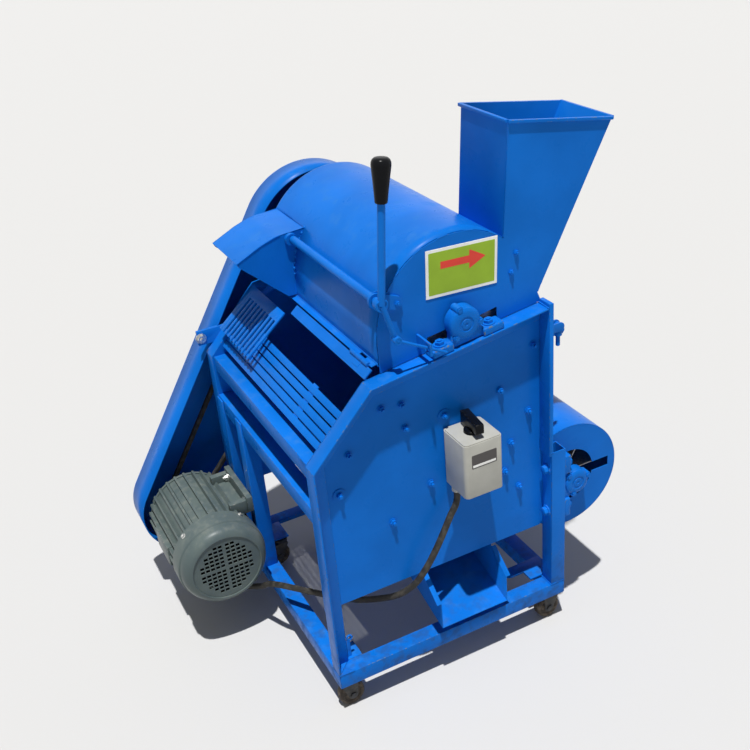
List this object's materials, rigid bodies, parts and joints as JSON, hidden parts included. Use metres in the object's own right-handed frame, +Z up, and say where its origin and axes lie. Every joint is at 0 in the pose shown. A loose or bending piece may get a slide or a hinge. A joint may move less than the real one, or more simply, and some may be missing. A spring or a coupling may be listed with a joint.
{
  "type": "soybean thresher",
  "caption": "Electric stationary thresher on a castered angle frame: hopper over a hinged drum hood, straw outlet with lever gate, cleaning fan, grain chute and belt-driven drum.",
  "frame": {"origin": "on the floor, under the middle of the machine's bounding box", "axes": "+X from the straw end to the fan end, +Y from the side with the switch to the belt side, +Z up"},
  "size_m": [0.8076, 0.627, 0.994],
  "materials": {
    "blue_paint": "gloss",
    "motor_paint": "satin",
    "steel": "satin",
    "caster_tread": "matte",
    "black_plastic": "gloss",
    "switch_plastic": "satin",
    "sign": "satin",
    "belt_rubber": "matte",
    "cable_skin": "matte"
  },
  "bodies": {
    "frame": {"rail_near": "blue_paint", "rail_far": "blue_paint", "rail_left": "blue_paint", "rail_right": "blue_paint", "near_side_frame": "blue_paint", "far_side_frame": "blue_paint", "near_right_post": "blue_paint", "far_right_post": "blue_paint", "near_panel": "blue_paint", "far_panel": "blue_paint", "end_panel": "blue_paint", "top_outlet_angle": "blue_paint", "middle_outlet_angle": "blue_paint", "lower_outlet_angle": "blue_paint", "motor_rail_near": "blue_paint", "motor_rail_far": "blue_paint", "drum_bearing_near": "blue_paint", "drum_bearing_far": "blue_paint", "fan_bearing_near": "blue_paint", "fan_bearing_far": "blue_paint", "motor_belt": "belt_rubber", "fan_belt": "belt_rubber", "fan_housing": "blue_paint", "motor_body": "motor_paint", "motor_fan_cover": "motor_paint", "belt_guard": "blue_paint", "concave_grate": "steel", "slatted_deck": "blue_paint", "discharge_comb": "blue_paint", "grain_chute": "blue_paint", "grain_deflector": "blue_paint", "wind_board": "blue_paint", "switch_box": "switch_plastic", "motor_cable": "cable_skin"},
    "drum": {"threshing_drum": "steel", "drum_pulley": "steel"},
    "fan": {"fan_rotor": "steel", "fan_pulley": "steel"},
    "motor_rotor": {"motor_shaft": "steel", "motor_pulley": "steel"},
    "hood": {"hood_shell": "blue_paint", "hood_near_end": "blue_paint", "hood_far_end": "blue_paint", "hopper": "blue_paint", "straw_outlet": "blue_paint", "sign_plate": "sign"},
    "lever": {"lever_shaft": "blue_paint", "lever_grip": "black_plastic", "straw_gate": "blue_paint"},
    "link": {"lever_link": "blue_paint"},
    "latch": {"latch_bolt": "blue_paint"},
    "switch_handle": {"switch_handle": "black_plastic"},
    "caster_fork_near_left": {"caster_fork_near_left": "steel"},
    "caster_wheel_near_left": {"caster_wheel_near_left": "caster_tread"},
    "caster_fork_near_right": {"caster_fork_near_right": "steel"},
    "caster_wheel_near_right": {"caster_wheel_near_right": "caster_tread"},
    "caster_fork_far_left": {"caster_fork_far_left": "steel"},
    "caster_wheel_far_left": {"caster_wheel_far_left": "caster_tread"},
    "caster_fork_far_right": {"caster_fork_far_right": "steel"},
    "caster_wheel_far_right": {"caster_wheel_far_right": "caster_tread"}
  },
  "joints": [
    {"name": "drum_spin", "type": "hinge", "parent": "frame", "child": "drum", "pos_m": [0.07578, -0.0165, 0.69597], "axis": [0, 1, 0], "continuous": true},
    {"name": "motor_spin", "type": "hinge", "parent": "frame", "child": "motor_rotor", "pos_m": [-0.30582, 0.1285, 0.184], "axis": [0, 1, 0], "continuous": true},
    {"name": "fan_spin", "type": "hinge", "parent": "frame", "child": "fan", "pos_m": [0.29778, -0.0165, 0.306], "axis": [0, 1, 0], "continuous": true},
    {"name": "hood_hinge", "type": "hinge", "parent": "frame", "child": "hood", "pos_m": [-0.08022, -0.084, 0.654], "axis": [0, -1, 0], "range_deg": [0, 60]},
    {"name": "lever_swing", "type": "hinge", "parent": "hood", "child": "lever", "pos_m": [-0.06722, -0.0315, 0.768], "axis": [0, 1, 0], "range_deg": [0, 30]},
    {"name": "link_swing", "type": "hinge", "parent": "lever", "child": "link", "pos_m": [-0.04922, -0.2743, 0.707], "axis": [0, 1, 0], "range_deg": [-44, 0]},
    {"name": "latch_swing", "type": "hinge", "parent": "frame", "child": "latch", "pos_m": [0.25778, -0.2595, 0.636], "axis": [0, -1, 0], "range_deg": [0, 150]},
    {"name": "switch_turn", "type": "hinge", "parent": "frame", "child": "switch_handle", "pos_m": [0.07278, -0.2775, 0.505], "axis": [0, 0, 1], "range_deg": [-45, 45]},
    {"name": "swivel_near_left", "type": "hinge", "parent": "frame", "child": "caster_fork_near_left", "pos_m": [-0.19622, -0.2475, 0.058], "axis": [0, 0, 1], "continuous": true},
    {"name": "roll_near_left", "type": "hinge", "parent": "caster_fork_near_left", "child": "caster_wheel_near_left", "pos_m": [-0.18622, -0.2475, 0.025], "axis": [0, 1, 0], "continuous": true},
    {"name": "swivel_near_right", "type": "hinge", "parent": "frame", "child": "caster_fork_near_right", "pos_m": [0.25178, -0.2475, 0.058], "axis": [0, 0, 1], "continuous": true},
    {"name": "roll_near_right", "type": "hinge", "parent": "caster_fork_near_right", "child": "caster_wheel_near_right", "pos_m": [0.24178, -0.2475, 0.025], "axis": [0, 1, 0], "continuous": true},
    {"name": "swivel_far_left", "type": "hinge", "parent": "frame", "child": "caster_fork_far_left", "pos_m": [-0.13822, 0.1905, 0.058], "axis": [0, 0, 1], "continuous": true},
    {"name": "roll_far_left", "type": "hinge", "parent": "caster_fork_far_left", "child": "caster_wheel_far_left", "pos_m": [-0.14822, 0.1905, 0.025], "axis": [0, 1, 0], "continuous": true},
    {"name": "swivel_far_right", "type": "hinge", "parent": "frame", "child": "caster_fork_far_right", "pos_m": [0.19378, 0.1905, 0.058], "axis": [0, 0, 1], "continuous": true},
    {"name": "roll_far_right", "type": "hinge", "parent": "caster_fork_far_right", "child": "caster_wheel_far_right", "pos_m": [0.20378, 0.1905, 0.025], "axis": [0, 1, 0], "continuous": true}
  ],
  "couplings": [
    {"joint": "motor_spin", "follows": "drum_spin", "ratio": 2.3889},
    {"joint": "fan_spin", "follows": "drum_spin", "ratio": 1.4146},
    {"joint": "link_swing", "follows": "lever_swing", "ratio": -1.43}
  ]
}
